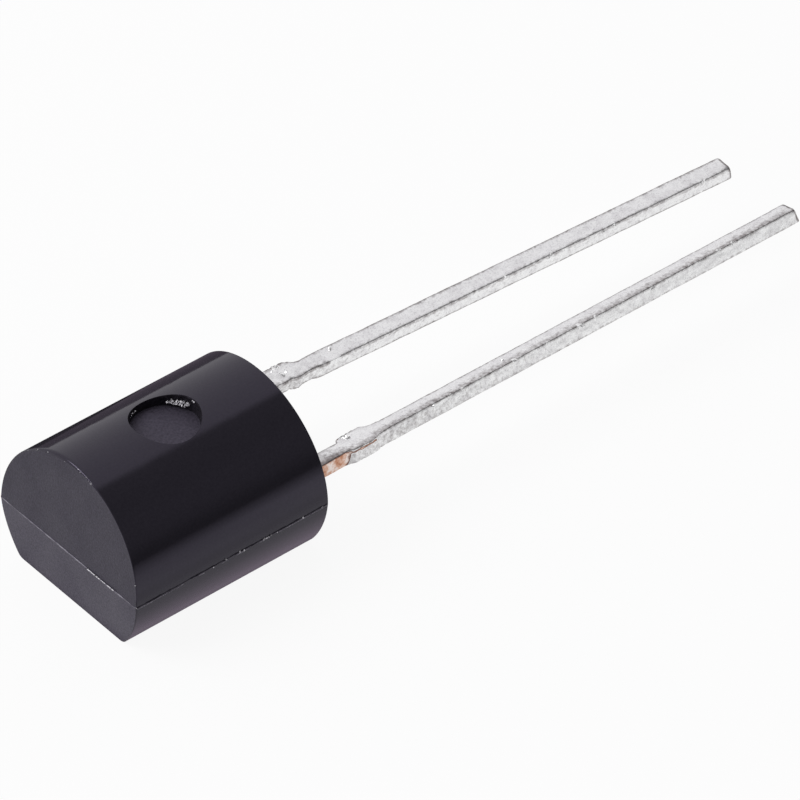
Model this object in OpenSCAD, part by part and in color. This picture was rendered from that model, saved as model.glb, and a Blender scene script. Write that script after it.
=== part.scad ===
// Two-lead silicon temperature sensor in a moulded half-round package.
// The part lies on its flat: the origin is the centre of the flat underside,
// +X runs along the leads towards their tips and +Z points out of the round side.
// All lengths are in millimetres, and angles are in degrees.

/* [Body] */
// Diameter of the round side
body_d = 4.4; // [4.2:0.05:4.8]
// Length of the body along the leads, at the parting plane
body_length = 5.07; // [4.8:0.01:5.4]
// Height of the mould's parting plane above the flat
parting_h = 1.35; // [1.2:0.01:1.5]
// Height of the round side's axis above the parting plane
axis_rise = 0.07; // [0:0.01:0.15]
// Lean of the plain end face above the parting plane
plain_upper_draft = 4; // [2:0.5:7]
// Lean of the plain end face below the parting plane
plain_lower_draft = 3.5; // [2:0.5:7]
// Lean of the leads' end face above the parting plane
lead_upper_draft = 2.5; // [1:0.5:7]
// Lean of the leads' end face below the parting plane
lead_lower_draft = 1; // [1:0.5:7]
// Radius of the edge between the flat and the round side
flat_edge_r = 0.12; // [0.05:0.01:0.2]

/* [Ejector mark] */
// Diameter of the mark that the mould's ejector pin leaves
mark_d = 1.5; // [1:0.05:1.8]
// Depth of the mark's floor below the crown of the round side
mark_depth = 0.33; // [0.2:0.01:0.4]

/* [Leads] */
// Distance between the two leads' centre lines where they leave the body
lead_pitch = 2.6; // [2.4:0.02:2.7]
// Width of a lead
lead_w = 0.42; // [0.36:0.01:0.48]
// Thickness of the sheet that the whole lead frame is stamped from
sheet_t = 0.36; // [0.34:0.01:0.45]
// Depth of the sheet's underside below the parting plane
sheet_drop = 0.05; // [0:0.01:0.1]
// Length of a lead outside the body
lead_length = 13.7; // [12.7:0.1:14.5]
// Distance from the body to the stubs of the sheared dam bar
stub_from_body = 1.15; // [0.8:0.05:1.4]
// Length of a stub along the lead
stub_length = 0.82; // [0.5:0.02:1]
// Distance that a stub stands out from the side of its lead
stub_out = 0.08; // [0.06:0.01:0.16]
// Angle by which the left lead toes in towards the other, from the body outwards
left_toe = 2.75; // [-1:0.05:4]
// Angle by which the right lead toes in towards the other; a minus angle splays it out
right_toe = -0.4; // [-1:0.05:4]
// Chamfer on the sheared corners of the tips
tip_chamfer = 0.05; // [0.02:0.01:0.1]

/* [Lead frame inside the body] */
// Distance from the body's end face to the lock wings
lock_from_face = 0.5; // [0.4:0.05:0.7]
// Length of the lock wings along the lead
lock_length = 0.25; // [0.15:0.05:0.35]
// Distance that a lock wing stands out from the side of its lead
lock_out = 0.14; // [0.08:0.02:0.18]
// Length of a bond post along the lead
post_length = 2.2; // [1.6:0.1:2.4]
// Width of a bond post
post_w = 0.84; // [0.7:0.02:0.88]
// Length of the die pad along the leads
pad_length = 1.7; // [1.2:0.1:2]
// Width of the die pad
pad_w = 1.2; // [1:0.05:1.3]
// Distance from the body's end face back to the die pad
pad_from_face = 2.3; // [2.1:0.05:2.4]

/* [Sensor chip and its bonds] */
// Side of the square silicon chip
chip_side = 0.5; // [0.4:0.05:0.6]
// Thickness of the chip
chip_t = 0.24; // [0.2:0.01:0.3]
// Thickness of the adhesive under the chip
attach_t = 0.03; // [0.02:0.005:0.05]
// Width of the adhesive that squeezes out beyond each side of the chip
attach_margin = 0.05; // [0.02:0.01:0.08]
// Distance between the two contacts on the chip
contact_pitch = 0.24; // [0.16:0.02:0.28]
// Diameter of the gold bond wire
wire_d = 0.03; // [0.025:0.005:0.04]
// Diameter of the ball that bonds the wire to the chip
ball_d = 0.08; // [0.07:0.005:0.1]
// Height of the ball
ball_h = 0.02; // [0.015:0.005:0.03]
// Height of the wire's loop above the chip
loop_h = 0.28; // [0.2:0.02:0.4]
// Radius of the bend at the top of the loop
loop_bend_r = 0.1; // [0.06:0.01:0.14]
// Slope of the wire's straight run down to the post
run_fall = 34; // [30:1:38]
// Diameter of the flattened foot where the wire is stitched to the post
stitch_d = 0.07; // [0.05:0.005:0.1]
// Thickness of that foot
stitch_h = 0.01; // [0.005:0.0025:0.015]

/* [Hidden] */
$fn = 96;

body_r = body_d / 2;
axis_z = parting_h + axis_rise;
crown_z = axis_z + body_r;
end_x = body_length / 2;
frame_z = parting_h - sheet_drop;
frame_top = frame_z + sheet_t;
lead_y = lead_pitch / 2;
stub_end = stub_from_body + stub_length;
// The chamfered foot of a stub or wing leans by this much along the lead
stub_lean = stub_out / 2;
pad_far_x = end_x - pad_from_face;
chip_x = pad_far_x - pad_length / 2;
// A post is centred, along the lead, beside the chip
post_back_u = chip_x - end_x - post_length / 2;
attach_top = frame_top + attach_t;
chip_top = attach_top + chip_t;
edge_steps = 5;
cut_over = 1;

// ---- Body ----

// Centre of the small circle that rounds the edge between the flat and the round side
function edge_y() = sqrt(pow(body_r - flat_edge_r, 2) - pow(axis_z - flat_edge_r, 2));
function edge_end_angle() = atan2(flat_edge_r - axis_z, edge_y());
function edge_angle(i) = -90 + (edge_end_angle() + 90) * i / edge_steps;
// Points of that rounding from the flat to the round side; the last one runs out past the round side
function edge_point(i) = [edge_y() + flat_edge_r * cos(edge_angle(i)),
                          flat_edge_r + flat_edge_r * sin(edge_angle(i))];
function edge_exit() = 2 * edge_point(edge_steps) - edge_point(edge_steps - 1);
function edge_points() = [for (i = [0 : edge_steps - 1]) edge_point(i), edge_exit()];
function mirrored(points) = [for (i = [len(points) - 1 : -1 : 0]) [-points[i][0], points[i][1]]];

// The half-round section, standing on its flat
module body_section() {
    wide = body_r + cut_over;
    intersection() {
        translate([0, axis_z]) circle(r = body_r);
        polygon(concat(edge_points(), [[wide, edge_exit()[1]], [wide, crown_z + cut_over],
                       [-wide, crown_z + cut_over], [-wide, edge_exit()[1]]],
                       mirrored(edge_points())));
    }
}

// Side view of the body: both end faces lean in, up and down from the parting plane
module drafted_side_view() {
    up = crown_z - parting_h;
    polygon([[end_x - parting_h * tan(lead_lower_draft), 0], [end_x, parting_h],
             [end_x - up * tan(lead_upper_draft), crown_z],
             [up * tan(plain_upper_draft) - end_x, crown_z], [-end_x, parting_h],
             [parting_h * tan(plain_lower_draft) - end_x, 0]]);
}

module moulded_shape() {
    difference() {
        intersection() {
            translate([-end_x, 0, 0]) rotate([90, 0, 90])
                linear_extrude(height = body_length) body_section();
            rotate([90, 0, 0])
                linear_extrude(height = body_d + 2 * cut_over, center = true) drafted_side_view();
        }
        translate([0, 0, crown_z - mark_depth]) cylinder(d = mark_d, h = mark_depth + cut_over);
    }
}

module body() {
    color("#2b292e") difference() {
        moulded_shape();
        left_lead();
        right_lead();
        die_pad();
        die_attach();
        sensor_chip();
        left_bond_wire();
        right_bond_wire();
    }
}

// ---- Lead frame ----

// One side of a lead's outline outside the body, from the tip back: u along the lead from the
// body's end face, v out from the lead's centre line
function blade_side() = [
    [lead_length, lead_w / 2 - tip_chamfer],
    [lead_length - tip_chamfer, lead_w / 2],
    [stub_end, lead_w / 2],
    [stub_end - stub_lean, lead_w / 2 + stub_out],
    [stub_from_body + stub_lean, lead_w / 2 + stub_out],
    [stub_from_body, lead_w / 2]];
// The same side inside the body, back to the end of the post
function root_side() = [
    [0, lead_w / 2],
    [-lock_from_face, lead_w / 2],
    [-lock_from_face, lead_w / 2 + lock_out],
    [-lock_from_face - lock_length, lead_w / 2 + lock_out],
    [-lock_from_face - lock_length, lead_w / 2],
    [post_back_u + post_length, lead_w / 2],
    [post_back_u + post_length, post_w / 2],
    [post_back_u, post_w / 2]];
function flipped(points) = [for (i = [len(points) - 1 : -1 : 0]) [points[i][0], -points[i][1]]];
// Turns the outline outside the body about the point where the lead leaves it
function toed(points, toe) = [for (p = points)
    [p[0] * cos(toe) + p[1] * sin(toe), p[1] * cos(toe) - p[0] * sin(toe)]];

module lead(toe) {
    translate([end_x, lead_y, frame_z]) linear_extrude(height = sheet_t)
        polygon(concat(toed(blade_side(), toe), root_side(),
                       flipped(root_side()), toed(flipped(blade_side()), toe)));
}

module left_lead() {
    color("#d6d6da") lead(left_toe);
}

module right_lead() {
    color("#d6d6da") mirror([0, 1, 0]) lead(right_toe);
}

// The pad that carries the chip, with its tie, which is sheared flush with the body's end face
function pad_side() = [
    [0, lead_w / 2],
    [-lock_from_face, lead_w / 2],
    [-lock_from_face, lead_w / 2 + lock_out],
    [-lock_from_face - lock_length, lead_w / 2 + lock_out],
    [-lock_from_face - lock_length, lead_w / 2],
    [-pad_from_face, lead_w / 2],
    [-pad_from_face, pad_w / 2],
    [-pad_from_face - pad_length, pad_w / 2]];

module die_pad() {
    color("#b87351") intersection() {
        translate([end_x, 0, frame_z]) linear_extrude(height = sheet_t)
            polygon(concat(pad_side(), flipped(pad_side())));
        rotate([90, 0, 0]) linear_extrude(height = body_d, center = true) drafted_side_view();
    }
}

// ---- Chip and bonds ----

module plate_on_pad(side, bottom, thickness) {
    translate([chip_x - side / 2, -side / 2, bottom]) cube([side, side, thickness]);
}

module die_attach() {
    color("#a9a9a4") plate_on_pad(chip_side + 2 * attach_margin, frame_top, attach_t);
}

module sensor_chip() {
    color("#5d6470") plate_on_pad(chip_side, attach_top, chip_t);
}

// A bond wire lies in an upright plane across the leads: straight up out of the ball, over
// the bend, and straight down to the post. Its points are [distance across, height].
bend_hub = [contact_pitch / 2 + loop_bend_r, chip_top + loop_h - loop_bend_r];
bend_leave = bend_hub + loop_bend_r * [sin(run_fall), cos(run_fall)];
run_length = (bend_leave[1] - frame_top) / sin(run_fall);
landing = bend_leave + run_length * [cos(run_fall), -sin(run_fall)];

module upright(at) {
    translate([chip_x, at[0], at[1]]) children();
}

module bond_wire() {
    upright([contact_pitch / 2, chip_top]) {
        cylinder(d = ball_d, h = ball_h);
        cylinder(d = wire_d, h = bend_hub[1] - chip_top);
    }
    upright(bend_hub) rotate([90, 0, 90]) mirror([1, 0, 0])
        rotate_extrude(angle = 90 + run_fall) translate([loop_bend_r, 0]) circle(d = wire_d);
    // The straight run is cut off flush with the top of the post
    difference() {
        upright(bend_hub) rotate([-run_fall, 0, 0]) translate([0, 0, loop_bend_r])
            rotate([-90, 0, 0]) cylinder(d = wire_d, h = run_length + 2 * wire_d);
        upright(landing) translate([-wire_d, -4 * wire_d, -4 * wire_d])
            cube([2 * wire_d, 8 * wire_d, 4 * wire_d]);
    }
    upright(landing) cylinder(d = stitch_d, h = stitch_h);
}

module left_bond_wire() {
    color("#d9a441") bond_wire();
}

module right_bond_wire() {
    color("#d9a441") mirror([0, 1, 0]) bond_wire();
}

body();
left_lead();
right_lead();
die_pad();
die_attach();
sensor_chip();
left_bond_wire();
right_bond_wire();
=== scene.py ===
# %% [markdown]
# # A two-lead temperature sensor
# The part is a silicon temperature sensor: a chip on a copper frame, sealed in a half-round
# block of black epoxy, with two tinned leads. It is 19 mm long, so the sizes below are in
# millimetres, and MM turns them into metres.

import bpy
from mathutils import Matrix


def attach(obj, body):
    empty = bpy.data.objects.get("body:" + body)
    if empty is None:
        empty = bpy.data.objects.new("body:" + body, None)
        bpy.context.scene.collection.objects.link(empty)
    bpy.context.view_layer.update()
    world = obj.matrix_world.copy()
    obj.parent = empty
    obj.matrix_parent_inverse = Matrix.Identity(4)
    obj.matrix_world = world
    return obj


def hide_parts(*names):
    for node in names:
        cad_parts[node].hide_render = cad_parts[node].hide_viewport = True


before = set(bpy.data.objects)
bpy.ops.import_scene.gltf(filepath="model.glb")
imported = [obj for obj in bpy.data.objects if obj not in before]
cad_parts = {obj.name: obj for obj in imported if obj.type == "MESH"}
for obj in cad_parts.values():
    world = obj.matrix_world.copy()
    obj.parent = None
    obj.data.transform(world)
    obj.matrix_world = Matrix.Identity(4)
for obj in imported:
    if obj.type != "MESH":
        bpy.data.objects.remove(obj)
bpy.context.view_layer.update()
print("nodes:", sorted(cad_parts))

# %% Imports and units
import math

import bpy
import bmesh
from mathutils import Matrix, Vector, noise

MM = 0.001


def to_object(name, mesh, materials, slot_name, *nodes):
    """Puts a finished mesh in the scene as a piece that rides on the part."""
    mesh.name = name
    piece = bpy.data.objects.new(name, mesh)
    bpy.context.scene.collection.objects.link(piece)
    for material in materials:
        mesh.materials.append(material)
    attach(piece, "root")
    if nodes:
        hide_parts(*nodes)
    print(name, len(mesh.vertices), "vertices,", len(mesh.polygons), "faces")


def plain_mesh(work):
    """The mesh that an object's modifiers make; the object itself is removed."""
    graph = bpy.context.evaluated_depsgraph_get()
    mesh = bpy.data.meshes.new_from_object(work.evaluated_get(graph))
    bpy.data.objects.remove(work)
    return mesh


# %% [markdown]
# ## The camera
# The camera stands far off with a long lens, so the part's parallel edges stay nearly
# parallel. Its right and up axes are written out, which fixes its turn exactly.

# %% Camera
CAMERA_RIGHT = (0.758262, -0.651518, 0.023728)
CAMERA_UP = (0.411348, 0.506346, 0.757896)
CAMERA_AIM, CAMERA_AWAY = (4.507, -2.107, 3.021), 143.5
LENS, SENSOR = 314.9, 36


def make_camera():
    data = bpy.data.cameras.new("camera")
    data.lens, data.sensor_width = LENS, SENSOR
    data.clip_start, data.clip_end = 0.01, 2.0
    camera = bpy.data.objects.new("camera", data)
    bpy.context.scene.collection.objects.link(camera)
    right, up = Vector(CAMERA_RIGHT), Vector(CAMERA_UP)
    back = right.cross(up)
    place = Matrix((right, up, back)).transposed().to_4x4()
    place.translation = (Vector(CAMERA_AIM) + back * CAMERA_AWAY) * MM
    camera.matrix_world = place
    bpy.context.scene.camera = camera


make_camera()
bpy.context.scene.view_settings.view_transform = "Standard"
print("camera", CAMERA_AWAY, "mm away, lens", LENS, "mm")

# %% [markdown]
# ## Colours and nodes
# Colours are chosen as they look on a screen (sRGB) and Blender's sockets want linear light,
# so one function turns one into the other. One more adds a node with its settings and links.

# %% Colour and node helpers
def linear(hex_colour):
    parts = [int(hex_colour[i:i + 2], 16) / 255 for i in (1, 3, 5)]
    return tuple(c / 12.92 if c <= 0.04045 else ((c + 0.055) / 1.055) ** 2.4
                 for c in parts) + (1.0,)


def add_node(tree, kind, inputs=None, **settings):
    """Adds a node; inputs maps an input to a value, an output, or a node for its first one."""
    node = tree.nodes.new(kind)
    for key, value in settings.items():
        setattr(node, key, value)
    for key, value in (inputs or {}).items():
        if isinstance(value, bpy.types.Node):
            value = value.outputs[0]
        if isinstance(value, bpy.types.NodeSocket):
            tree.links.new(value, node.inputs[key])
        else:
            node.inputs[key].default_value = value
    return node


def math_node(tree, operation, *values):
    return add_node(tree, "ShaderNodeMath", dict(enumerate(values)),
                    operation=operation).outputs[0]


def new_material(name):
    material = bpy.data.materials.new(name)
    material.use_nodes = True
    tree = material.node_tree
    tree.nodes.clear()
    return material, tree


def ramp(tree, socket, stops):
    """A colour ramp; stops are (position, colour as hex or as linear light)."""
    node = add_node(tree, "ShaderNodeValToRGB", {"Fac": socket})
    elements = node.color_ramp.elements
    while len(elements) < len(stops):
        elements.new(0.5)
    for element, (position, colour) in zip(elements, stops):
        element.position = position
        element.color = linear(colour) if isinstance(colour, str) else colour
    return node.outputs["Color"]


def grain(tree, size_mm, detail=2.0, rough=0.5):
    """Noise whose lumps are about size_mm across, on the piece's own coordinates."""
    place = add_node(tree, "ShaderNodeTexCoord")
    return add_node(tree, "ShaderNodeTexNoise",
                    {"Vector": place.outputs["Object"], "Scale": 1 / (size_mm * MM),
                     "Detail": detail, "Roughness": rough}).outputs["Fac"]


def over_patches(tree, field, at_low, at_high):
    """A value that goes from at_low to at_high over a noise's usual range."""
    return add_node(tree, "ShaderNodeMapRange",
                    {"Value": field, "From Min": 0.3, "From Max": 0.7, "To Min": at_low,
                     "To Max": at_high}).outputs["Result"]


def bumps(tree, height, strength, depth_mm):
    return add_node(tree, "ShaderNodeBump", {"Height": height, "Strength": strength,
                                             "Distance": depth_mm * MM}).outputs["Normal"]


def surface(tree, inputs):
    """The material's shader, joined to its output."""
    shader = add_node(tree, "ShaderNodeBsdfPrincipled", inputs)
    add_node(tree, "ShaderNodeOutputMaterial", {"Surface": shader})


# %% [markdown]
# ## Black epoxy
# The body is transfer-moulded from epoxy filled with silica flour and carbon black. It is a
# plastic with an IOR near 1.5, and its sheen is very slightly violet. How it looks depends on
# the steel that it came off:
# - the round side comes off a ground and polished face and is nearly glossy;
# - the end faces come off spark-eroded steel and are matt, and below the parting plane they
#   are painted a little paler, as painted light;
# - the ejector pin leaves a matt floor, painted a little paler as painted light against the
#   recess's shade, and round it a sheared wall, painted nearly black as painted shade;
# - flash is a thin skin with the filler showing, so it is grey, and its paler grey also paints
#   a highlight along the parting line.

# %% Epoxy materials
def epoxy(name, dark, light, rough_low, rough_high, grain_mm, bump_mm, ior):
    material, tree = new_material(name)
    fine = grain(tree, grain_mm, 3.0, 0.6)
    broad = grain(tree, 0.9)
    surface(tree, {"Base Color": ramp(tree, fine, [(0.3, dark), (0.75, light)]),
                   "Roughness": over_patches(tree, broad, rough_low, rough_high),
                   "Normal": bumps(tree, fine, 0.5, bump_mm), "IOR": ior,
                   "Specular Tint": linear("#e8ddff")})
    return material


polished_epoxy = epoxy("epoxy_moulded_polished", "#232127", "#2a282e",
                       0.08, 0.12, 0.05, 0.0004, 1.46)
matt_epoxy = epoxy("epoxy_moulded_matt", "#16141a", "#38353f", 0.46, 0.56, 0.04, 0.011, 1.5)
# A paler copy of the matt epoxy, for the end faces below the parting plane: painted light.
lit_lower_epoxy = epoxy("epoxy_lower_half_painted_light", "#25222a", "#4b4753",
                    0.46, 0.56, 0.04, 0.011, 1.5)
# Paler than the matt epoxy: painted light on the ejector mark's floor, against the recess's
# shade.
eroded_lit_epoxy = epoxy("epoxy_spark_eroded_painted_light", "#29262e", "#46424d", 0.46, 0.56, 0.05, 0.011, 1.5)
# Nearly black: painted shade on the ejector mark's wall.
shaded_wall_epoxy = epoxy("epoxy_sheared_wall_painted_shade", "#0c0b0d", "#2b282e", 0.3, 0.5, 0.06, 0.02, 1.35)
# Paler grey: the flash's own grey and a painted highlight along the parting line.
flash_highlight_epoxy = epoxy("epoxy_flash_painted_highlight", "#45424a", "#a3a0a8", 0.3, 0.5, 0.2, 0.004, 1.5)


# %% [markdown]
# Where epoxy breaks off, the fresh fracture is rough and full of silica, so it is paler than
# the skin and glints; its near-white patches are painted glints on top.

# %% Broken epoxy
def broken_epoxy_with_glints():
    material, tree = new_material("epoxy_fractured_painted_glints")
    # The near-white stop paints glints into the colour.
    tone = ramp(tree, grain(tree, 0.05, 1.0), [(0.36, "#2a272c"), (0.42, "#8b8890"),
                                               (0.5, "#e9e7ec")])
    surface(tree, {"Base Color": tone, "Roughness": 0.22, "IOR": 1.55})
    return material


fractured_glint_epoxy = broken_epoxy_with_glints()

# %% [markdown]
# ## Tin and copper
# The leads are stamped from copper strip and then plated with matt tin. Tin grows as fine
# grains, so it scatters light, and handling leaves it mottled. The right lead's tin is rubbed
# a little smoother than the left's. The rolled edges, the tips and the near sides are painted
# greyer: the plate is thin on the edges, and the grey also paints their dark reflection and
# the shade on the near sides. Where the trim press has sheared a lead after plating, bare
# copper shows, with a thin brown line of old copper round it. Two numbers on the mesh's own
# points say where: "bare" for the copper and "edge" for the painted grey. A little noise
# added to each makes the border ragged.

# %% Metal materials
def attribute(tree, name, raggedness, size_mm):
    """The mesh's own number plus a little noise, so that its border is ragged."""
    value = add_node(tree, "ShaderNodeAttribute", attribute_name=name).outputs["Fac"]
    push = math_node(tree, "ADD", grain(tree, size_mm, 3.0, 0.6), -0.5)
    return math_node(tree, "MULTIPLY_ADD", push, raggedness, value)


def mix_colour(tree, factor, first, second, blend="MIX"):
    """Mixes two colours; the node's colour inputs are 6 and 7, and its colour output is 2."""
    return add_node(tree, "ShaderNodeMix", {0: factor, 6: first, 7: second},
                    data_type="RGBA", blend_type=blend).outputs[2]


def plated_tin(name, rough_low, rough_high):
    material, tree = new_material(name)
    fine = grain(tree, 0.035, 2.0, 0.7)
    patches = grain(tree, 0.22, 3.0, 0.65)
    speckle = ramp(tree, fine, [(0.28, "#dfdee0"), (0.43, "#f5f5f6"), (0.58, "#ffffff")])
    mottle = ramp(tree, patches, [(0.35, "#f4f3f4"), (0.55, "#ffffff")])
    skin = mix_colour(tree, 1.0, speckle, mottle, "MULTIPLY")
    # The edge number greys the tin: painted dark reflection and painted shade, over some wear.
    edge = attribute(tree, "edge", 1.6, 0.09)
    worn_and_shaded = ramp(tree, edge, [(0.2, "#ffffff"), (1.0, "#8d8685")])
    plate = mix_colour(tree, 1.0, skin, worn_and_shaded, "MULTIPLY")
    bare = attribute(tree, "bare", 0.7, 0.14)
    pink = ramp(tree, patches, [(0.35, "#ae6f50"), (0.45, "#cd9d84"), (0.54, "#ddb9a7"),
                                (0.64, "#f0e3dd")])
    line = ramp(tree, bare, [(0.52, "#6e4430"), (0.75, "#ffffff")])
    raw = mix_colour(tree, 1.0, pink, line, "MULTIPLY")
    mask = ramp(tree, bare, [(0.46, "#000000"), (0.5, "#ffffff")])
    surface(tree, {"Base Color": mix_colour(tree, mask, plate, raw),
                   "Roughness": over_patches(tree, patches, rough_high, rough_low),
                   "Normal": bumps(tree, fine, 0.5, 0.006), "Metallic": 1.0})
    return material


def metal(name, dark, light, roughness, grain_mm):
    material, tree = new_material(name)
    fine = grain(tree, grain_mm, 3.0)
    surface(tree, {"Base Color": ramp(tree, fine, [(0.3, dark), (0.7, light)]),
                   "Normal": bumps(tree, fine, 0.3, 0.004),
                   "Metallic": 1.0, "Roughness": roughness})
    return material


def torn_tin():
    """A burr's torn face: a bright crystalline crumb that scatters light all ways."""
    material, tree = new_material("tin_torn")
    tone = ramp(tree, grain(tree, 0.03, 1.0), [(0.3, "#e9e9ea"), (0.5, "#ffffff")])
    surface(tree, {"Base Color": tone, "Roughness": 0.16, "Metallic": 0.6})
    return material


tin = plated_tin("tin_plate_matt", 0.34, 0.46)
tin_smoother = plated_tin("tin_plate_smoother", 0.27, 0.39)
bright_tin = torn_tin()
copper = metal("copper_sheared", "#b0714f", "#e6b797", 0.42, 0.12)
gold = metal("gold_drawn_wire", "#c9962f", "#e8bd58", 0.2, 0.02)
print("materials so far:", len(bpy.data.materials))


# %% [markdown]
# ## The moulded body
# The section is a circle cut by a flat, with a small round where they meet. The mould opens
# along a parting plane 1.35 mm above the flat, and every wall leans in away from it so that
# the part can drop out. The mesh follows those rules: one section loop, placed at stations
# along the body, with each end's stations leaning as the mould does. The front edge is
# worn, most of all a little to one side of the crown.

# %% Body sizes
ROUND_R, AXIS_Z, PARTING_Z = 2.2, 1.42, 1.35
HALF_LENGTH = 2.535
LOWER_R, LOWER_LEAN = 2.36, 3.0     # the lower half's sides lean in from the parting plane
FLAT_EDGE_R = 0.22
END_EDGE_R = {-1: 0.014, 1: 0.0015}       # -1 is the front end, 1 the leads' end
LEANS = {-1: (4.0, 3.5), 1: (2.5, 1.0)}   # degrees above and below the parting plane
WEAR_R, WEAR_AT, WEAR_SPREAD = 0.055, -14, 24     # the last two in degrees from the crown
MARK_R, MARK_FLOOR_Z, PATCH = 0.75, 3.29, 1.2     # PATCH is half of the square round it
RIM_BREAK, TORN_DEPTH = 0.05, 0.04        # how far the mark's rim and its wall broke away
RIM_RING, FOOT_RING = 7, 13               # the mark's rings at its rim and at its wall's foot
POLISHED, MATT, ERODED_LIT, SHEARED_SHADED, LOWER = range(5)      # the order of the body's materials


def bell(value, centre, spread):
    """1 at the centre, falling smoothly to nothing on both sides."""
    return math.exp(-((value - centre) / spread) ** 2)


def arc(centre, radius, start, stop, steps):
    """Points (y, z, normal y, normal z) from start to stop degrees, without the last one."""
    for i in range(steps):
        a = math.radians(start + (stop - start) * i / steps)
        ny, nz = math.cos(a), math.sin(a)
        yield centre[0] + radius * ny, centre[1] + radius * nz, ny, nz


def section():
    """The body's section, anticlockwise from the +Y parting edge, and where its parts begin."""
    edge = math.degrees(math.asin((PARTING_Z - AXIS_Z) / ROUND_R))
    patch = math.degrees(math.asin(PATCH / ROUND_R))
    half_w = ROUND_R * math.cos(math.radians(edge))
    lean = math.radians(LOWER_LEAN)
    cy, cz = half_w - LOWER_R * math.cos(lean), PARTING_Z + LOWER_R * math.sin(lean)
    fy = cy + math.sqrt((LOWER_R - FLAT_EDGE_R) ** 2 - (cz - FLAT_EDGE_R) ** 2)
    meet = math.degrees(math.atan2(FLAT_EDGE_R - cz, fy - cy))
    loop = list(arc((0, AXIS_Z), ROUND_R, edge, 90 - patch, 30))
    marks = {"patch_start": len(loop)}
    loop += arc((0, AXIS_Z), ROUND_R, 90 - patch, 90 + patch, 32)
    marks["patch_end"] = len(loop)
    loop += arc((0, AXIS_Z), ROUND_R, 90 + patch, 180 - edge, 30)
    marks["parting"] = len(loop)
    loop += arc((-cy, cz), LOWER_R, 180 + LOWER_LEAN, 180 - meet, 14)
    loop += arc((-fy, FLAT_EDGE_R), FLAT_EDGE_R, 180 - meet, 270, 8)
    loop += [(-fy + 2 * fy * i / 24, 0.0, 0.0, -1.0) for i in range(24)]
    loop += arc((fy, FLAT_EDGE_R), FLAT_EDGE_R, 270, 360 + meet, 8)
    loop += arc((cy, cz), LOWER_R, 360 + meet, 360 - LOWER_LEAN, 14)
    return loop, marks


def end_plane(end, z):
    above, below = LEANS[end]
    away = z - PARTING_Z
    lean = math.radians(above if away > 0 else below)
    return end * (HALF_LENGTH - abs(away) * math.tan(lean))


def extra_wear(a):
    """How much rounder the front edge is, a radians from the crown towards -Y."""
    return WEAR_R * bell(math.degrees(a), WEAR_AT, WEAR_SPREAD)


# %% Body mesh
def end_rings(bm, loop, end):
    """Rings of vertices round one end's edge, from the end face to the side. The last one,
    close behind the edge, keeps the side's shading straight up to it."""
    rings = []
    for turn, further in ((90, 0.0), (60, 0.0), (30, 0.0), (0, 0.0), (0, 0.03)):
        a = math.radians(turn)
        ring = []
        for y, z, ny, nz in loop:
            r = END_EDGE_R[end] + (extra_wear(math.atan2(-ny, nz)) if end < 0 else 0.0)
            inset, inward = r * (1 - math.cos(a)), r * (1 - math.sin(a))
            py, pz = y - ny * inset, z - nz * inset
            ring.append(bm.verts.new((end_plane(end, pz) - end * (inward + further), py, pz)))
        rings.append(ring)
    return rings


def on_side(y):
    """The height of the round side at y."""
    return AXIS_Z + math.sqrt(ROUND_R ** 2 - y * y)


def mark_rim(a):
    """The mark's radius; the skin broke away a little further where the wall is torn."""
    return MARK_R + RIM_BREAK * bell(math.degrees(a), 2, 34)


def mark_wall(bm, a, row):
    """A vertex of the mark's wall: clean on the near side, torn into steps on the far one."""
    torn = max(0.0, math.cos(a - math.radians(12))) ** 2
    rough = noise.noise(Vector((9 * math.cos(a), 9 * math.sin(a), row * 0.8)))
    r = mark_rim(a) - 0.003 - 0.004 * (row - 1)
    if row > 1:
        r -= torn * TORN_DEPTH * max(0.0, rough + 0.25)
    top = on_side(mark_rim(a) * math.sin(a)) - 0.003
    z = top + (MARK_FLOOR_Z - top) * ((row - 1) / 5) ** 1.2
    return bm.verts.new((r * math.cos(a), r * math.sin(a), z))


def mark_recess(bm, outline):
    """Rings for the square hole in the round side: its skin, the mark's wall and floor."""
    angles = [math.atan2(v.co.y, v.co.x) for v in outline]
    rings = [outline]
    for t in (0.2, 0.4, 0.58, 0.74, 0.87, 0.95, 1.0):
        ring = []
        for v, a in zip(outline, angles):
            x = v.co.x + (mark_rim(a) * math.cos(a) - v.co.x) * t
            y = v.co.y + (mark_rim(a) * math.sin(a) - v.co.y) * t
            ring.append(bm.verts.new((x, y, on_side(y))))
        rings.append(ring)
    rings += [[mark_wall(bm, a, row) for a in angles] for row in range(1, 7)]
    for r in (0.62, 0.42, 0.2):
        rings.append([bm.verts.new((r * math.cos(a), r * math.sin(a), MARK_FLOOR_Z))
                      for a in angles])
    return rings


def join_rings(bm, first, second, skip=lambda i: False, material=POLISHED):
    n = len(first)
    for i in range(n):
        if not skip(i):
            k = (i + 1) % n
            face = bm.faces.new((first[i], first[k], second[k], second[i]))
            face.material_index, face.smooth = material, True


def fill_mark(bm, outline):
    patch = mark_recess(bm, outline)
    for i in range(len(patch) - 1):
        # The mark's floor is painted light and its wall painted shade.
        material = ERODED_LIT if i >= FOOT_RING else SHEARED_SHADED if i >= RIM_RING else POLISHED
        join_rings(bm, patch[i], patch[i + 1], material=material)
    for ring in (patch[RIM_RING], patch[FOOT_RING]):
        for k in range(len(ring)):
            bm.edges.get((ring[k], ring[(k + 1) % len(ring)])).smooth = False
    bm.faces.new(patch[-1]).material_index = ERODED_LIT


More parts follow.
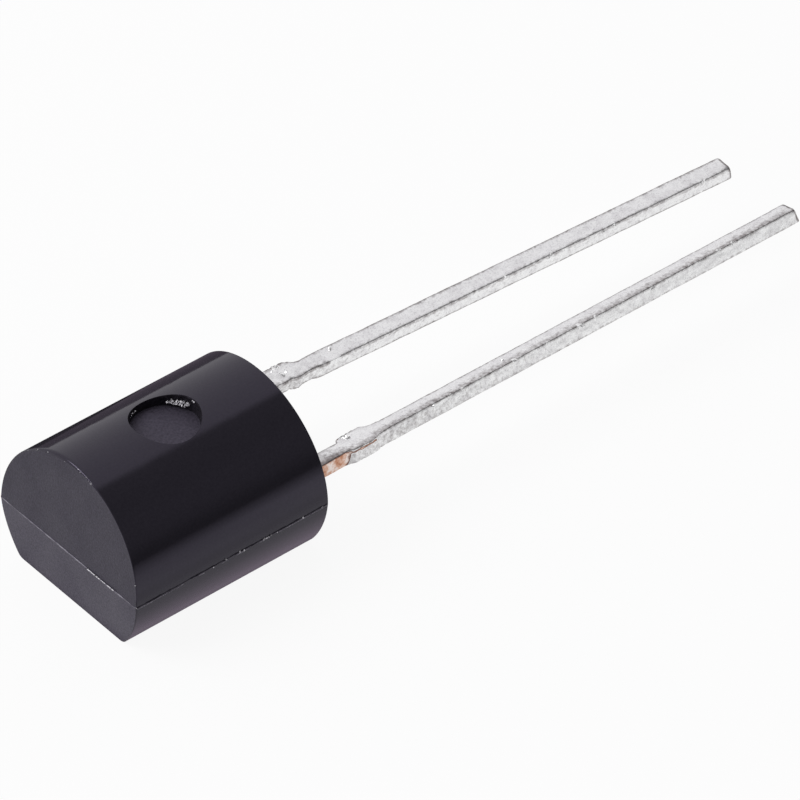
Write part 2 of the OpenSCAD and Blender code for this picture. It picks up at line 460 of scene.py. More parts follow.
def body_mesh():
    loop, marks = section()
    bm = bmesh.new()
    front, rear = end_rings(bm, loop, -1), end_rings(bm, loop, 1)
    stations = [i / 10 for i in range(-22, 23)]
    sides = [[bm.verts.new((x, y, z)) for y, z, _, _ in loop] for x in stations]
    rings = front + sides + rear[::-1]
    at = {x: i + len(front) for i, x in enumerate(stations)}
    start, stop = at[-PATCH], at[PATCH]
    first, last = marks["patch_start"], marks["patch_end"]
    for i in range(len(rings) - 1):
        in_patch = start <= i < stop
        join_rings(bm, rings[i], rings[i + 1], skip=lambda k: in_patch and first <= k < last)
    outline = [rings[i][first] for i in range(start, stop)] + rings[stop][first:last]
    outline += [rings[i][last] for i in range(stop, start, -1)] + rings[start][last:first:-1]
    fill_mark(bm, outline)
    for ring in (front[0], rear[0]):
        upper = bm.faces.new(ring[:marks["parting"] + 1])
        lower = bm.faces.new(ring[marks["parting"]:] + ring[:1])
        upper.material_index, lower.material_index = MATT, LOWER
        upper.smooth = lower.smooth = False
    for k in (0, marks["parting"]):
        for i in range(len(rings) - 1):
            bm.edges.get((rings[i][k], rings[i + 1][k])).smooth = False
    bmesh.ops.recalc_face_normals(bm, faces=bm.faces)
    bmesh.ops.scale(bm, vec=(MM, MM, MM), verts=bm.verts)
    mesh = bpy.data.meshes.new("uncut_body")
    bm.to_mesh(mesh)
    return mesh


# %% [markdown]
# The copper frame comes out through the end face, so the body gets three straight passages:
# one for each lead and one for the sheared tie of the chip's pad. A Boolean modifier cuts
# them, and the result is made a plain mesh.

# %% Passages for the copper
BODY_FACE = HALF_LENGTH
LEAD_Z, LEAD_T, LEAD_Y = 1.48, 0.36, 1.3
PASSAGE_L, LEAD_PASSAGE_W, TIE_PASSAGE_W, PASSAGE_H = 0.6, 0.46, 0.4201, 0.3601


def cut_passages(mesh):
    bm = bmesh.new()
    for y, w in ((LEAD_Y, LEAD_PASSAGE_W), (0.0, TIE_PASSAGE_W), (-LEAD_Y, LEAD_PASSAGE_W)):
        box = bmesh.ops.create_cube(bm, size=1.0)["verts"]
        bmesh.ops.scale(bm, vec=(PASSAGE_L, w, PASSAGE_H), verts=box)
        bmesh.ops.translate(bm, vec=(BODY_FACE, y, LEAD_Z), verts=box)
    bmesh.ops.scale(bm, vec=(MM, MM, MM), verts=bm.verts)
    cutter_mesh = bpy.data.meshes.new("passages")
    bm.to_mesh(cutter_mesh)
    cutter = bpy.data.objects.new("passages", cutter_mesh)
    work = bpy.data.objects.new("work", mesh)
    for o in (cutter, work):
        bpy.context.scene.collection.objects.link(o)
    cut = work.modifiers.new("cut", "BOOLEAN")
    cut.object, cut.operation, cut.solver = cutter, "DIFFERENCE", "EXACT"
    result = plain_mesh(work)
    bpy.data.objects.remove(cutter)
    return result


to_object("moulded_body", cut_passages(body_mesh()),
          [polished_epoxy, matt_epoxy, eroded_lit_epoxy, shaded_wall_epoxy, lit_lower_epoxy],
          "moulding_compound", "body")


# %% [markdown]
# ## The leads
# A lead is a strip stamped from sheet. The punch rolls the top edges over and leaves the
# lower ones sharper. Between the leads ran a dam bar that kept the epoxy in; the trim press
# cut it away and left a stub on each side. The mesh is a section that changes along the
# lead, so each lead is a table of widths at distances from the body.

# %% Lead tables
# Distance from the body's face, then half-widths: the +Y side, and the -Y side at the top
# and at the bottom of the sheet
INSIDE = [(-4.25, .42, .42, .42), (-2.05, .42, .42, .42), (-2.05, .21, .21, .21),
          (-.75, .21, .21, .21), (-.75, .35, .35, .35), (-.5, .35, .35, .35),
          (-.5, .21, .21, .21)]
LEFT_OUTER = [(-.49, .21, .21, .21), (0, .3, .19, .14), (.9, .31, .19, .15),
              (1.2, .33, .2, .16), (1.5, .325, .2, .16), (1.77, .33, .19, .15),
              (1.85, .325, .21, .2), (1.96, .28, .225, .215), (2.07, .21, .2, .17),
              (2.2, .19, .19, .16), (2.34, .2, .19, .16), (2.44, .205, .2, .2),
              (2.6, .21, .21, .21), (14, .21, .21, .21)]
RIGHT_OUTER = [(-.49, .21, .21, .21), (0, .21, .21, .2), (1.05, .21, .21, .2),
               (1.16, .21, .22, .22), (1.2, .29, .25, .23), (1.26, .33, .29, .27),
               (1.45, .345, .3, .28), (1.75, .36, .3, .28), (1.86, .34, .29, .26),
               (1.96, .27, .24, .22), (2.1, .225, .22, .2), (2.3, .21, .21, .21),
               (14, .21, .21, .21)]
# Where a lead's middle line leaves the face (y), and its slant in degrees (+ goes to -Y)
LEFT_RUN, RIGHT_RUN = (1.324, 2.8), (-1.306, 0.38)
# Distance from the body's face, then the turn about the lead's middle line in degrees
LEFT_TWIST = [(0, 8), (1.5, 10), (2.4, 9), (5, 8), (14, 8)]
RIGHT_TWIST = [(0, -3), (0.6, -7), (1.4, -12), (2.5, -15), (14, -17)]


def between(table, u):
    """The table's row at distance u, on straight lines between its rows."""
    for a, b in zip(table, table[1:]):
        if a[0] <= u <= b[0]:
            t = (u - a[0]) / (b[0] - a[0])
            return [p + (q - p) * t for p, q in zip(a[1:], b[1:])]
    return list(table[0][1:])


def rounded_section(plus, minus_top, minus_low, top, bottom, radii):
    """A four-cornered section with rounded corners: always as many (y, z) points."""
    corners = [Vector(c) for c in ((plus, top), (-minus_top, top), (-minus_low, bottom),
                                   (plus, bottom))]
    arcs = []
    for i, (p, (before, after)) in enumerate(zip(corners, radii)):
        start = p + (corners[i - 1] - p).normalized() * before
        stop = p + (corners[(i + 1) % 4] - p).normalized() * after
        arcs.append([start * (1 - t) ** 2 + p * 2 * t * (1 - t) + stop * t * t
                     for t in (k / 6 for k in range(7))])
    points = []
    for i, arc_points in enumerate(arcs):
        gap = arcs[(i + 1) % 4][0] - arc_points[-1]
        points += arc_points + [arc_points[-1] + gap * k / 6 for k in range(1, 6)]
    return points


# %% Lead mesh
TIP_R = 0.06
TIP_SLANT = 0.28            # the cut-off punch leaves the lower edge longer
EDGE_BAND = (0.02, 0.085)   # how far in from the long edges the tin goes from grey to white
WHOLE_AT = 2.87             # just past the left stub, where the near edge is sharper and has no painted grey
SEALED_R, TOP_R, LOW_R = (0.01, 0.01), (0.07, 0.05), (0.04, 0.04)      # corner radii


def step(value, low, high):
    """0 below low, 1 above high, straight between."""
    return min(1.0, max(0.0, (value - low) / (high - low)))


def wandering(u, seed):
    """An edge's own unevenness along the lead, about 1 in size either way."""
    return (1.2 * noise.noise(Vector((u * 4, seed, 0)))
            + 1.1 * noise.noise(Vector((u * 13, seed, 5))))


def turned(y, z, degrees):
    """A point of a lead's section, turned about the lead's middle line."""
    a = math.radians(degrees)
    return y * math.cos(a) - z * math.sin(a), y * math.sin(a) + z * math.cos(a)


def run_y(run, u):
    """The y of a lead's middle line at distance u from the body."""
    return run[0] - math.tan(math.radians(run[1])) * u


def lead_rows(outer, straight, length):
    """Distances and widths along a lead, through the body to its rounded tip."""
    rows = [(u, widths) for u, *widths in INSIDE]
    rows += [(u, between(outer, u)) for u in [-0.49] + [straight * i / 420 for i in range(421)]]
    rows += [(straight + TIP_R * math.sin(math.radians(turn)), between(outer, length))
             for turn in (20, 40, 60, 75, 90)]
    return rows


def lead_mesh(y_in, run, outer, twist, length, seed, bare, near_edge, rubbed_and_shaded, low_wear_and_shade,
              bottom, unrolled=0.0):
    """bare(u, y, z) from 0 to 1 says where copper shows; near_edge is how far the near top
    edge's roll goes over the top and down the side, rubbed_and_shaded(u, inward, down) how grey
    the tin is painted at distances from that edge, for wear and painted shade,
    low_wear_and_shade how grey the near lower edge is painted, bottom the height of the lower
    face, and unrolled how sharp the near edge is just past the stub."""
    straight = length - TIP_R
    bm = bmesh.new()
    rings, bareness, edges = [], [], []
    for u, (plus, minus_top, minus_low) in lead_rows(outer, straight, length):
        out = u > -0.2
        drop = TIP_R * (1 - math.sqrt(max(0.0, 1 - (max(0.0, u - straight) / TIP_R) ** 2)))
        turn = between(twist, max(0.0, u))[0]
        trimmed = bell(u, 1.7, 0.4)
        radii, low = [SEALED_R] * 4, -LEAD_T / 2
        if out:
            rolled = 1 - unrolled * (1 - step(abs(u - WHOLE_AT), 0.08, 0.18))
            rolled += 1.3 * step(u, straight - 0.25, straight)
            near = [rolled * r * max(0.3, 1 + 0.6 * wandering(u, s))
                    for r, s in zip(near_edge, (seed, seed + 20))]
            radii, low = [TOP_R, near, LOW_R, LOW_R], bottom
        ring = []
        for y, z in rounded_section(plus, minus_top, minus_low, LEAD_T / 2, low, radii):
            bareness.append(bare(u, y, z))
            far_top = max(plus - y, LEAD_T / 2 - z)
            near_low = max(z - bottom, y + minus_low)
            # Painted grey: dark reflection along the rolled edges and at the tip, shade on the
            # near side, over some wear.
            worn_and_shaded = max(1.0 - step(far_top, *EDGE_BAND),
                       low_wear_and_shade * (1 - step(near_low, *EDGE_BAND)),
                       step(u, straight - 0.04, straight + 0.01),
                       rubbed_and_shaded(u, y + minus_top, LEAD_T / 2 - z))
            edges.append(worn_and_shaded if out else 0.0)
            size = math.hypot(y, z)
            swell = -drop
            if out:
                swell += 0.006 * noise.noise(Vector((u * 3, y * 9 + seed, z * 9)))
                fine = noise.noise(Vector((u * 16, y * 18 + seed, z * 18)))
                swell += (0.003 + 0.02 * trimmed) * fine
            y, z = turned(y * (1 + swell / size), z * (1 + swell / size), turn)
            shift = run_y(run, u) if out else y_in
            slant = -z * TIP_SLANT * step(u, straight - 0.25, straight)
            ring.append(bm.verts.new((BODY_FACE + u + slant, shift + y, LEAD_Z + z)))
        rings.append(ring)
    for a, b in zip(rings, rings[1:]):
        for i in range(len(a)):
            k = (i + 1) % len(a)
            bm.faces.new((a[i], a[k], b[k], b[i])).smooth = a[i].co.x > BODY_FACE - 0.2
    for ring in (rings[0], rings[-1]):
        bm.faces.new(ring)
    bmesh.ops.recalc_face_normals(bm, faces=bm.faces)
    bmesh.ops.scale(bm, vec=(MM, MM, MM), verts=bm.verts)
    mesh = bpy.data.meshes.new("lead")
    bm.to_mesh(mesh)
    for key, values in (("bare", bareness), ("edge", edges)):
        mesh.attributes.new(key, "FLOAT", "POINT").data.foreach_set("value", values)
    return mesh


# %% [markdown]
# The left lead is plated all over outside the body. Its near edge is painted grey, for some
# wear and a painted dark reflection, except for a short stretch just past the stub; its near
# side is painted a little darker, as painted shade.

# %% Left lead
def bare_left(u, y, z):
    return 1.0 if u < -0.1 else 0.0


def rubbed_and_shaded_left(u, inward, down):
    # Painted grey: the near top edge's dark reflection, and painted shade on the near side.
    edge = (0.5 if u > 2.8 else 0.7) * (1 - step(inward, 0.0, 0.12))
    edge *= (1 - step(down, 0.06, 0.12)) * step(abs(u - WHOLE_AT), 0.1, 0.18)
    side = (0.42 - 0.3 * step(u, 1.8, 4.0)) * step(down, 0.08, 0.12)
    return max(edge, side * (1 - step(inward, 0.1, 0.2)))


to_object("tinned_lead_left",
          lead_mesh(LEAD_Y, LEFT_RUN, LEFT_OUTER, LEFT_TWIST, 13.71, 3.0, bare_left,
                    (0.04, 0.075), rubbed_and_shaded_left, 1.0, -0.2, 0.8),
          [tin], "tinned_lead", "left_lead")


# %% [markdown]
# The right lead was twisted a little when the press cut it free: its top face turns away by
# about 15 degrees past the stub and 17 degrees at the tip. Its outer side was sheared after
# plating, so it is bare copper from the body to the stub, and a thin bare line goes on along
# the stub.

# %% Right lead
def bare_right(u, y, z):
    if u < -0.1:
        return 1.0
    side = step(-y, 0.15, 0.19) * step(0.21 - z, 0.0, 0.11)
    side *= step(1.26 + 0.4 * z - u, 0.0, 0.22)
    strip = 0.72 * step(-y, 0.17, 0.2) * (1 - step(abs(z - 0.11), 0.02, 0.06))
    strip *= step(1.93 - u, 0.0, 0.1)
    notch = 0.6 * step(y, 0.22, 0.27) * (1 - step(abs(u - 1.21), 0.05, 0.09))
    notch *= step(z, 0.0, 0.1)
    return max(side, strip, notch)


def rubbed_and_shaded_right(u, inward, down):
    # Painted grey: the near top edge's dark reflection, painted shade on the near side, and by
    # the body painted shade where the lead leaves it.
    band = (1 - step(inward, 0.02, 0.26)) * (1 - step(down, 0.0, 0.1))
    side = (0.4 - 0.4 * step(u, 3.0, 8.0)) * step(down, 0.06, 0.1)
    side *= 1 - step(inward, 0.1, 0.2)
    by_body = 0.4 * (1 - step(u, 0.7, 1.2)) * (1 - step(down, 0.02, 0.1))
    return max(0.72 * band, side) + by_body


to_object("tinned_lead_right",
          lead_mesh(-LEAD_Y, RIGHT_RUN, RIGHT_OUTER, RIGHT_TWIST, 13.77, 8.0, bare_right,
                    (0.05, 0.025), rubbed_and_shaded_right, 0.62, -0.18),
          [tin_smoother], "tinned_lead", "right_lead")

# %% [markdown]
# ## Flash and chips
# Where the two mould halves meet, a little epoxy creeps out. It leaves a low bead round the
# body, and a broken pale line of thinner flash under it on the sides. Where the bead and the
# sharp edges are knocked, small chips stay, and part of the front bead has lost its top. All
# of it follows paths, so two Geometry Nodes trees make it from polylines: one sweeps a bead
# that wanders in height, and the other scatters small broken lumps.

# %% Paths
def path_mesh(paths):
    """A mesh of open polylines, each a list of (x, y, z) in millimetres."""
    mesh = bpy.data.meshes.new("paths")
    points, edges = [], []
    for path in paths:
        edges += [(len(points) + i, len(points) + i + 1) for i in range(len(path) - 1)]
        points += [Vector(p) * MM for p in path]
    mesh.from_pydata(points, edges, [])
    return mesh


def line(start, stop):
    a, b = Vector(start), Vector(stop)
    return [a.lerp(b, i / 20) for i in range(21)]


def radians_between(start, stop):
    return [math.radians(start + (stop - start) * i / 20) for i in range(21)]


def end_edge(start, stop):
    """Along the front end's upper edge; angles are degrees from the crown towards -Y."""
    path = []
    for a in radians_between(start, stop):
        z = AXIS_Z + ROUND_R * math.cos(a)
        r = END_EDGE_R[-1] * 0.4 + extra_wear(a)
        path.append((end_plane(-1, z) + 0.4 * r, -(ROUND_R - r) * math.sin(a),
                     z - r * math.cos(a)))
    return path


def mark_arc(start, stop, r, z):
    return [(r * math.cos(a), r * math.sin(a), z) for a in radians_between(start, stop)]


# %% Trees
FLOAT, VECTOR = "NodeSocketFloat", "NodeSocketVector"
LENGTHS = ("Radius", "Wander", "Spacing", "Size", "Scatter")      # inputs given in mm


def new_tree(name, inputs):
    """A Geometry Nodes tree with named inputs, its input node and its output node."""
    tree = bpy.data.node_groups.new(name, "GeometryNodeTree")
    tree.is_modifier = True
    inputs = {"Geometry": "NodeSocketGeometry", **inputs, "Material": "NodeSocketMaterial"}
    for key, kind in inputs.items():
        tree.interface.new_socket(key, in_out="INPUT", socket_type=kind)
    tree.interface.new_socket("Geometry", in_out="OUTPUT", socket_type="NodeSocketGeometry")
    return tree, tree.nodes.new("NodeGroupInput").outputs, tree.nodes.new("NodeGroupOutput")


def scaled(tree, vector, amount):
    return add_node(tree, "ShaderNodeVectorMath", {0: vector, "Scale": amount},
                    operation="SCALE").outputs[0]


def lumps(tree, size_mm, amount, seed):
    """A small random push for Set Position, within amount (in metres) either way."""
    place = add_node(tree, "GeometryNodeInputPosition")
    field = add_node(tree, "ShaderNodeTexNoise",
                     {"Vector": place, "W": seed, "Scale": 1 / (size_mm * MM),
                      "Detail": 1.0}, noise_dimensions="4D")
    centred = add_node(tree, "ShaderNodeVectorMath",
                       {0: field.outputs["Color"], 1: (0.5, 0.5, 0.5)}, operation="SUBTRACT")
    return scaled(tree, centred, amount)


def random_vector(tree, seed, low, high):
    return add_node(tree, "FunctionNodeRandomValue", {"Seed": seed, 0: low, 1: high},
                    data_type="FLOAT_VECTOR").outputs[0]


def painted(tree, shape, given, end):
    """Ends a tree: the shape gets its material and goes out."""
    last = add_node(tree, "GeometryNodeSetMaterial",
                    {"Geometry": shape, "Material": given["Material"]})
    tree.links.new(last.outputs[0], end.inputs[0])
    return tree


def bead_tree():
    tree, given, end = new_tree("parting_bead", {"Radius": FLOAT, "Wander": FLOAT,
                                                 "Seed": FLOAT})
    curve = add_node(tree, "GeometryNodeMeshToCurve", {"Mesh": given["Geometry"]})
    fine = add_node(tree, "GeometryNodeResampleCurve",
                    {"Curve": curve, "Length": 0.03 * MM}, mode="LENGTH")
    push = lumps(tree, 0.12, given["Wander"], given["Seed"])
    moved = add_node(tree, "GeometryNodeSetPosition",
                     {"Geometry": fine, "Offset": push})
    ring = add_node(tree, "GeometryNodeCurvePrimitiveCircle",
                    {"Radius": given["Radius"], "Resolution": 8})
    bead = add_node(tree, "GeometryNodeCurveToMesh",
                    {"Curve": moved, "Profile Curve": ring,
                     "Fill Caps": True})
    whole = add_node(tree, "GeometryNodeRealizeInstances", {"Geometry": bead})
    return painted(tree, whole, given, end)


def chip_tree():
    """Missing is the share left out, Shape squashes a chip, and TurnFrom and TurnTo are the
    limits of its turn in radians."""
    tree, given, end = new_tree("scattered_chips",
                                {"Spacing": FLOAT, "Size": FLOAT, "Scatter": FLOAT,
                                 "Missing": FLOAT, "Shape": VECTOR, "TurnFrom": VECTOR,
                                 "TurnTo": VECTOR, "Seed": "NodeSocketInt"})
    tree.interface.items_tree["Shape"].default_value = (1.0, 1.0, 1.0)
    tree.interface.items_tree["TurnTo"].default_value = (6.28, 6.28, 6.28)
    seed = given["Seed"]
    curve = add_node(tree, "GeometryNodeMeshToCurve", {"Mesh": given["Geometry"]})
    points = add_node(tree, "GeometryNodeCurveToPoints",
                      {"Curve": curve, "Length": given["Spacing"]}, mode="LENGTH")
    missing = add_node(tree, "FunctionNodeRandomValue",
                       {"Probability": given["Missing"], "Seed": seed}, data_type="BOOLEAN")
    kept = add_node(tree, "GeometryNodeDeleteGeometry",
                    {"Geometry": points, "Selection": missing.outputs[3]})
    spread = random_vector(tree, seed, (-1.0, -1.0, -1.0), (1.0, 1.0, 1.0))
    moved = add_node(tree, "GeometryNodeSetPosition",
                     {"Geometry": kept,
                      "Offset": scaled(tree, spread, given["Scatter"])})
    size = random_vector(tree, seed, (0.25, 0.4, 0.25), (1.0, 1.4, 1.1))
    shaped = add_node(tree, "ShaderNodeVectorMath", {0: size, 1: given["Shape"]},
                      operation="MULTIPLY")
    turn = random_vector(tree, seed, given["TurnFrom"], given["TurnTo"])
    lump = add_node(tree, "GeometryNodeMeshIcoSphere", {"Radius": 1.0, "Subdivisions": 2})
    placed = add_node(tree, "GeometryNodeInstanceOnPoints",
                      {"Points": moved, "Instance": lump,
                       "Rotation": turn,
                       "Scale": scaled(tree, shaped, given["Size"])})
    whole = add_node(tree, "GeometryNodeRealizeInstances", {"Geometry": placed})
    broken = add_node(tree, "GeometryNodeSetPosition",
                      {"Geometry": whole,
                       "Offset": lumps(tree, 0.03, given["Size"], seed)})
    flat = add_node(tree, "GeometryNodeSetShadeSmooth",
                    {"Geometry": broken, "Shade Smooth": False})
    return painted(tree, flat, given, end)


def grow(name, tree, paths, slot_name="moulding_compound", **values):
    """Runs a tree on some paths and makes the result a plain piece."""
    work = bpy.data.objects.new(name, path_mesh(paths))
    bpy.context.scene.collection.objects.link(work)
    modifier = work.modifiers.new(name, "NODES")
    modifier.node_group = tree
    for item in tree.interface.items_tree:
        if item.item_type == "SOCKET" and item.in_out == "INPUT" and item.name in values:
            value = values[item.name]
            modifier[item.identifier] = value * MM if item.name in LENGTHS else value
    to_object(name, plain_mesh(work), [], slot_name)


beads, chips = bead_tree(), chip_tree()

# %% Parting flash
SIDE_Y = ROUND_R * math.cos(math.asin((AXIS_Z - PARTING_Z) / ROUND_R))
THIN_Y, THIN_BELOW = 2.189, 0.035
# How far the front bead stands out, less a little, from -Y to +Y
FRONT_BEAD = [(-2.2, -0.012), (-1.82, -0.01), (-1.5, 0.012), (-0.75, 0.012), (-0.6, 0.0),
              (1.3, -0.003), (1.5, -0.008), (2.2, -0.012)]


def along_side(start, stop, y, z=PARTING_Z):
    return line((start, y, z), (stop, y, z))


def across_end(start, stop, x, z=PARTING_Z):
    return line((x, start, z), (x, stop, z))


grow("parting_flash_sides", beads,
     [along_side(-2.52, 2.52, y) for y in (-SIDE_Y + 0.011, SIDE_Y - 0.011)],
     Radius=0.028, Wander=0.04, Seed=2.0, Material=polished_epoxy)
grow("thin_flash_sides", beads,
     [along_side(a, b, y, PARTING_Z - THIN_BELOW) for y in (-THIN_Y, THIN_Y)
      for a, b in ((-2.5, -1.3), (-0.9, -0.75), (-0.3, -0.1), (0.1, 0.45), (0.7, 1.0),
                   (1.2, 2.5))],
     Radius=0.017, Wander=0.016, Seed=8.0, Material=flash_highlight_epoxy)
front_path = [(-HALF_LENGTH + 0.004 - between(FRONT_BEAD, y)[0], y, PARTING_Z)
              for y in (0.99 * SIDE_Y * (i / 40 - 1) for i in range(81))]
rear_paths = [across_end(a, b, HALF_LENGTH - 0.004)
              for a, b in ((-2.18, -1.53), (-1.06, -0.22), (0.22, 1.06), (1.53, 2.18))]
grow("parting_flash_ends", beads, [front_path] + rear_paths,
     Radius=0.018, Wander=0.02, Seed=5.0, Material=flash_highlight_epoxy)

# %% Chips on the edges and in the ejector mark
grow("edge_chips", chips,
     [end_edge(a, b) for a, b in ((-41, -40), (-33, -29), (-22, -20), (-7, -2), (4, 16),
                                  (77, 78), (89, 91))],
     Spacing=0.035, Size=0.019, Missing=0.45, Scatter=0.012, Seed=4,
     Material=fractured_glint_epoxy)
grow("flash_chips", chips,
     [along_side(x, x + w, -SIDE_Y - 0.004)
      for x, w in ((-2.5, 0.05), (-1.94, 0.01), (-0.54, 0.01), (-0.2, 0.01), (0.17, 0.11),
                   (0.79, 0.21), (0.81, 0.13), (1.16, 0.01), (1.86, 0.01), (2.36, 0.01))],
     Spacing=0.05, Size=0.03, Missing=0.0, Scatter=0.012, Seed=7, Material=fractured_glint_epoxy)
grow("bead_torn_top", beads,
     [across_end(a, b, -HALF_LENGTH - out, PARTING_Z + 0.008)
      for a, b, out in ((-0.64, -1.22, 0.015), (-1.3, -1.5, 0.013))],
     Radius=0.011, Wander=0.012, Seed=3.0, Material=fractured_glint_epoxy)
grow("torn_mark_wall", chips,
     [mark_arc(18, 47, 0.72, 3.38), mark_arc(12, 40, 0.73, 3.43), mark_arc(8, 14, 0.74, 3.48)],
     Spacing=0.024, Size=0.04, Scatter=0.026, Missing=0.1, Seed=3, Material=fractured_glint_epoxy)
grow("mark_specks", chips,
     [mark_arc(-12, -9, 0.785, 3.56), mark_arc(1, 5, 0.78, 3.57),
      mark_arc(108, 126, 0.71, 3.44)],
     Spacing=0.045, Size=0.026, Scatter=0.015, Seed=9, Material=fractured_glint_epoxy)

# %% [markdown]
# The press leaves burrs on the tin, and small ridges on the stubs that lean back towards the
# body and flash white. Each is one chip at a place of its own: its distance from the body,
# then y and z in the lead's section.

# %% Burrs and glints on the leads
LEFT_BURRS = [(2.95, 0.09, 0.18), (7.42, -0.2, 0.15), (8.65, -0.2, 0.15), (10.1, -0.21, 0.1),
              (10.4, -0.2, 0.15), (11.92, -0.19, 0.14), (12.86, -0.19, 0.15),
              (12.92, -0.2, 0.15)]
RIGHT_BURRS = [(3.44, -0.21, 0.12), (3.96, -0.2, 0.15), (4.25, -0.2, 0.14), (5.54, 0.01, 0.18),
               (5.7, -0.2, 0.15), (7.5, -0.2, 0.15), (7.57, -0.21, 0.14), (7.96, -0.2, 0.15),
               (8.76, -0.2, 0.15), (9.57, -0.21, 0.09), (11.48, -0.2, 0.16),
               (11.86, -0.2, 0.15)]
LEFT_GLINTS = [(1.5, 0.22, 0.17), (1.57, 0.26, 0.17), (1.66, 0.26, 0.17), (1.64, 0.04, 0.175),
               (1.75, 0.07, 0.175)]
RIGHT_GLINTS = [(1.37, 0.2, 0.175), (1.41, 0.14, 0.175)]
GLINT_LEAN = -0.66      # radians, back towards the body


def spots(left, left_twist, right, right_twist):
    """A path at each place on the two leads, just long enough for one chip."""
    paths = []
    for places, run, twist in ((left, LEFT_RUN, left_twist), (right, RIGHT_RUN, right_twist)):
        for u, y, z in places:
            y, z = turned(y, z, twist)
            point = Vector((BODY_FACE + u, run_y(run, u) + y, LEAD_Z + z))
            paths.append((point, point + Vector((0.01, 0, 0))))
    return paths


grow("tin_burrs", chips, spots(LEFT_BURRS, 8, RIGHT_BURRS, -16), "tinned_lead",
     Spacing=0.5, Size=0.06, Scatter=0.006, Seed=11, Material=bright_tin)
grow("tin_glints", chips, spots(LEFT_GLINTS, 9, RIGHT_GLINTS, -12), "tinned_lead",
     Spacing=0.5, Size=0.06, Scatter=0.0, Seed=2, Material=bright_tin, Shape=(1.2, 1.2, 0.3),
     TurnFrom=(-0.15, GLINT_LEAN - 0.1, -0.5), TurnTo=(0.15, GLINT_LEAN + 0.1, 0.5))

# %% [markdown]
# ## Inside the epoxy
# The chip, its adhesive, the pad and the two gold wires keep the solid model's own meshes.
# Only their surfaces are made here: polished silicon with etched tracks, the dull paste that
# holds it down, sheared copper and drawn gold.

# %% Inner materials
def chip_silicon():
    material, tree = new_material("silicon_polished")
    place = add_node(tree, "ShaderNodeTexCoord")
    tracks = add_node(tree, "ShaderNodeTexBrick",
                      {"Vector": place.outputs["Object"], "Scale": 1 / (0.1 * MM),
                       "Mortar Size": 0.03, "Color1": linear("#3c4250"),
                       "Color2": linear("#4a4658"), "Mortar": linear("#8d8a72")})
    surface(tree, {"Base Color": tracks.outputs["Color"], "Roughness": 0.12, "IOR": 2.0,
                   "Metallic": 0.5})
    return material


def cured_adhesive():
    material, tree = new_material("die_adhesive_cured")
    tone = ramp(tree, grain(tree, 0.02), [(0.3, "#a9a49c"), (0.7, "#cdc9c2")])
    surface(tree, {"Base Color": tone, "Roughness": 0.6, "Metallic": 0.4})
    return material


for node_name, material in (("die_pad", copper), ("sensor_chip", chip_silicon()),
                            ("die_attach", cured_adhesive()), ("left_bond_wire", gold),
                            ("right_bond_wire", gold)):
    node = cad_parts[node_name]
    node.data.materials.clear()
    node.data.materials.append(material)
    print(node_name, "gets", material.name)

# %% [markdown]
# ## The studio
# The part lies on a white sweep. The world is bright behind it (+Y) and dark on the camera's
# side, where it is lighter partway up than at the horizon, so the round black side shows one
# broad soft highlight with dark either side of it. In reflections the sweep shows painted
# shade of its own: dark behind the part, dimmer in front of it, in its shade and past its
# front end, and dimming towards the horizon. One soft lamp from behind and to the left gives
# a faint shadow.

# %% Floor
SWEEP_LEVEL = 0.93
HORIZON_FROM = 10.0      # from this distance (mm) the sweep dims as one over the distance
SHADE_TINT = (1.0, 0.82, 1.04, 1.0)


def fade(tree, socket, start_mm, stop_mm):
    """0 at start, 1 at stop, smooth between."""
    return add_node(tree, "ShaderNodeMapRange",
                    {"Value": socket, "From Min": start_mm * MM, "From Max": stop_mm * MM},
                    interpolation_type="SMOOTHSTEP").outputs["Result"]


def product(tree, result, *others):
    for value in others:
        result = math_node(tree, "MULTIPLY", result, value)
    return result


def floor_levels(tree):
    """How bright the sweep is painted in reflections: painted shade over its length and width,
    and its tint.
    """
    place = add_node(tree, "ShaderNodeNewGeometry")
    split = add_node(tree, "ShaderNodeSeparateXYZ", {"Vector": place.outputs["Position"]})
    x, y = split.outputs["X"], split.outputs["Y"]
    # Painted shade in reflections only: dark behind the part, dimmer in front, in the part's
    # shade and its crease, past its end and towards the horizon.
    painted_dark_behind = product(tree, fade(tree, y, 2.4, 3.6), fade(tree, x, -3.0, -1.5))
    near_part = math_node(tree, "MULTIPLY_ADD", fade(tree, y, -5.4, -3.9), 0.65, 0.35)
    front = product(tree, fade(tree, y, -2.0, -2.8), fade(tree, x, 5.5, 3.5), near_part)
    shade = product(tree, fade(tree, y, -3.1, -1.5), fade(tree, x, 4.0, 3.2),
                    fade(tree, x, -2.6, -2.3))
    crease = product(tree, shade, fade(tree, y, -1.9, -1.66))
    past_end = product(tree, fade(tree, y, -7.0, -24.0), fade(tree, x, 0.0, -3.0))
    distance = math_node(tree, "MAXIMUM", product(tree, y, -1.0), HORIZON_FROM * MM)
    nearness = math_node(tree, "DIVIDE", HORIZON_FROM * MM, distance)
    horizon = product(tree, math_node(tree, "SUBTRACT", 1.0, nearness),
                      fade(tree, x, -3.0, 0.0))
    level = SWEEP_LEVEL
    for zone, depth in ((painted_dark_behind, 0.87), (front, 0.29), (shade, 0.62), (crease, 0.5),
                        (past_end, 0.88), (horizon, 0.8)):
        level = product(tree, math_node(tree, "MULTIPLY_ADD", zone, -depth, 1.0), level)
    dim = math_node(tree, "MAXIMUM", painted_dark_behind, shade)
    return level, mix_colour(tree, dim, (1.0, 1.0, 1.0, 1.0), SHADE_TINT)


def mixed(tree, factor, first, second):
    return add_node(tree, "ShaderNodeMixShader",
                    {0: factor, 1: first, 2: second})


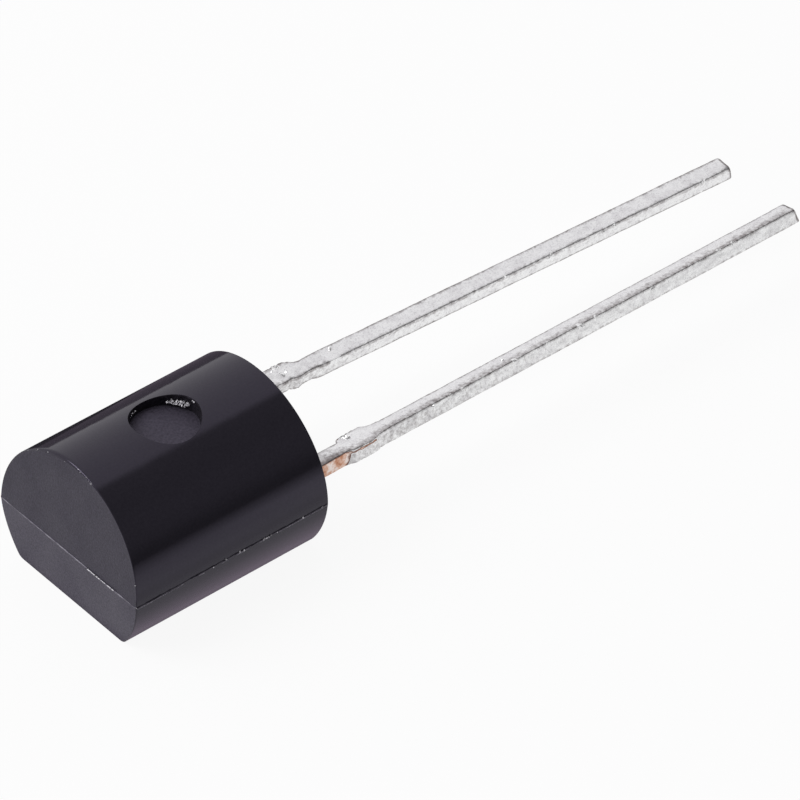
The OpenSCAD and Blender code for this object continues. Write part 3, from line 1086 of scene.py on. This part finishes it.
def make_floor():
    """Paper that takes the shadow: a white of its own to the camera, the painted shade levels
    above in reflections, and clear from beneath."""
    material, tree = new_material("white_sweep")
    paper = add_node(tree, "ShaderNodeBsdfDiffuse", {"Color": linear("#f6f6f7")})
    white = add_node(tree, "ShaderNodeEmission", {"Color": (1, 1, 1, 1), "Strength": 1.0})
    level, tint = floor_levels(tree)
    # Reflections see this painted shade, not the lit paper.
    mirrored = add_node(tree, "ShaderNodeEmission", {"Strength": level, "Color": tint})
    ray = add_node(tree, "ShaderNodeLightPath").outputs
    direct = mixed(tree, ray["Is Camera Ray"], paper, mixed(tree, 0.92, paper, white))
    seen = mixed(tree, ray["Is Glossy Ray"], direct, mirrored)
    clear = add_node(tree, "ShaderNodeBsdfTransparent")
    beneath = add_node(tree, "ShaderNodeNewGeometry").outputs["Backfacing"]
    one_sided = mixed(tree, beneath, seen, clear)
    add_node(tree, "ShaderNodeOutputMaterial", {"Surface": one_sided})
    bpy.ops.mesh.primitive_plane_add(size=0.6, location=(0, 0, -0.01 * MM))
    floor = bpy.context.object
    floor.name = "floor"
    floor.data.materials.append(material)


# %% World and lamp
# How bright the world is on the camera's side, by height (0 is the horizon, 1 overhead)
DARK_SIDE = ((0.0, 0.085), (0.1, 0.1), (0.3, 0.23), (0.45, 0.268), (0.6, 0.258), (0.8, 0.19))
BRIGHT_SIDE = 0.82
LAMP_TOWARDS, LAMP_AWAY, LAMP_SIZE, LAMP_POWER = (-0.55, 0.45, 0.7), 0.2, 0.12, 0.16


def make_world():
    world = bpy.data.worlds.new("studio")
    bpy.context.scene.world = world
    world.use_nodes = True
    tree = world.node_tree
    tree.nodes.clear()
    place = add_node(tree, "ShaderNodeTexCoord")
    split = add_node(tree, "ShaderNodeSeparateXYZ", {"Vector": place.outputs["Generated"]})
    dark = ramp(tree, split.outputs["Z"],
                [(height, (grey, grey, grey, 1)) for height, grey in DARK_SIDE])
    level = add_node(tree, "ShaderNodeMapRange",
                     {"Value": split.outputs["Y"], "From Min": -0.05, "From Max": 0.09,
                      "To Min": dark, "To Max": BRIGHT_SIDE}, interpolation_type="SMOOTHSTEP")
    around = add_node(tree, "ShaderNodeBackground", {"Strength": level.outputs["Result"],
                                                     "Color": (0.995, 0.985, 1.0, 1)})
    plain = add_node(tree, "ShaderNodeBackground", {"Color": (1, 1, 1, 1), "Strength": 1.0})
    ray = add_node(tree, "ShaderNodeLightPath").outputs
    seen = mixed(tree, ray["Is Camera Ray"], around, plain)
    add_node(tree, "ShaderNodeOutputWorld", {"Surface": seen})


def make_lamp():
    data = bpy.data.lights.new("key", "AREA")
    data.shape, data.size, data.energy = "DISK", LAMP_SIZE, LAMP_POWER
    lamp = bpy.data.objects.new("key", data)
    bpy.context.scene.collection.objects.link(lamp)
    towards = Vector(LAMP_TOWARDS).normalized()
    lamp.location = Vector((0.006, 0, 0)) + towards * LAMP_AWAY
    lamp.rotation_euler = towards.to_track_quat("Z", "Y").to_euler()


make_floor()
make_world()
make_lamp()
print("studio ready")
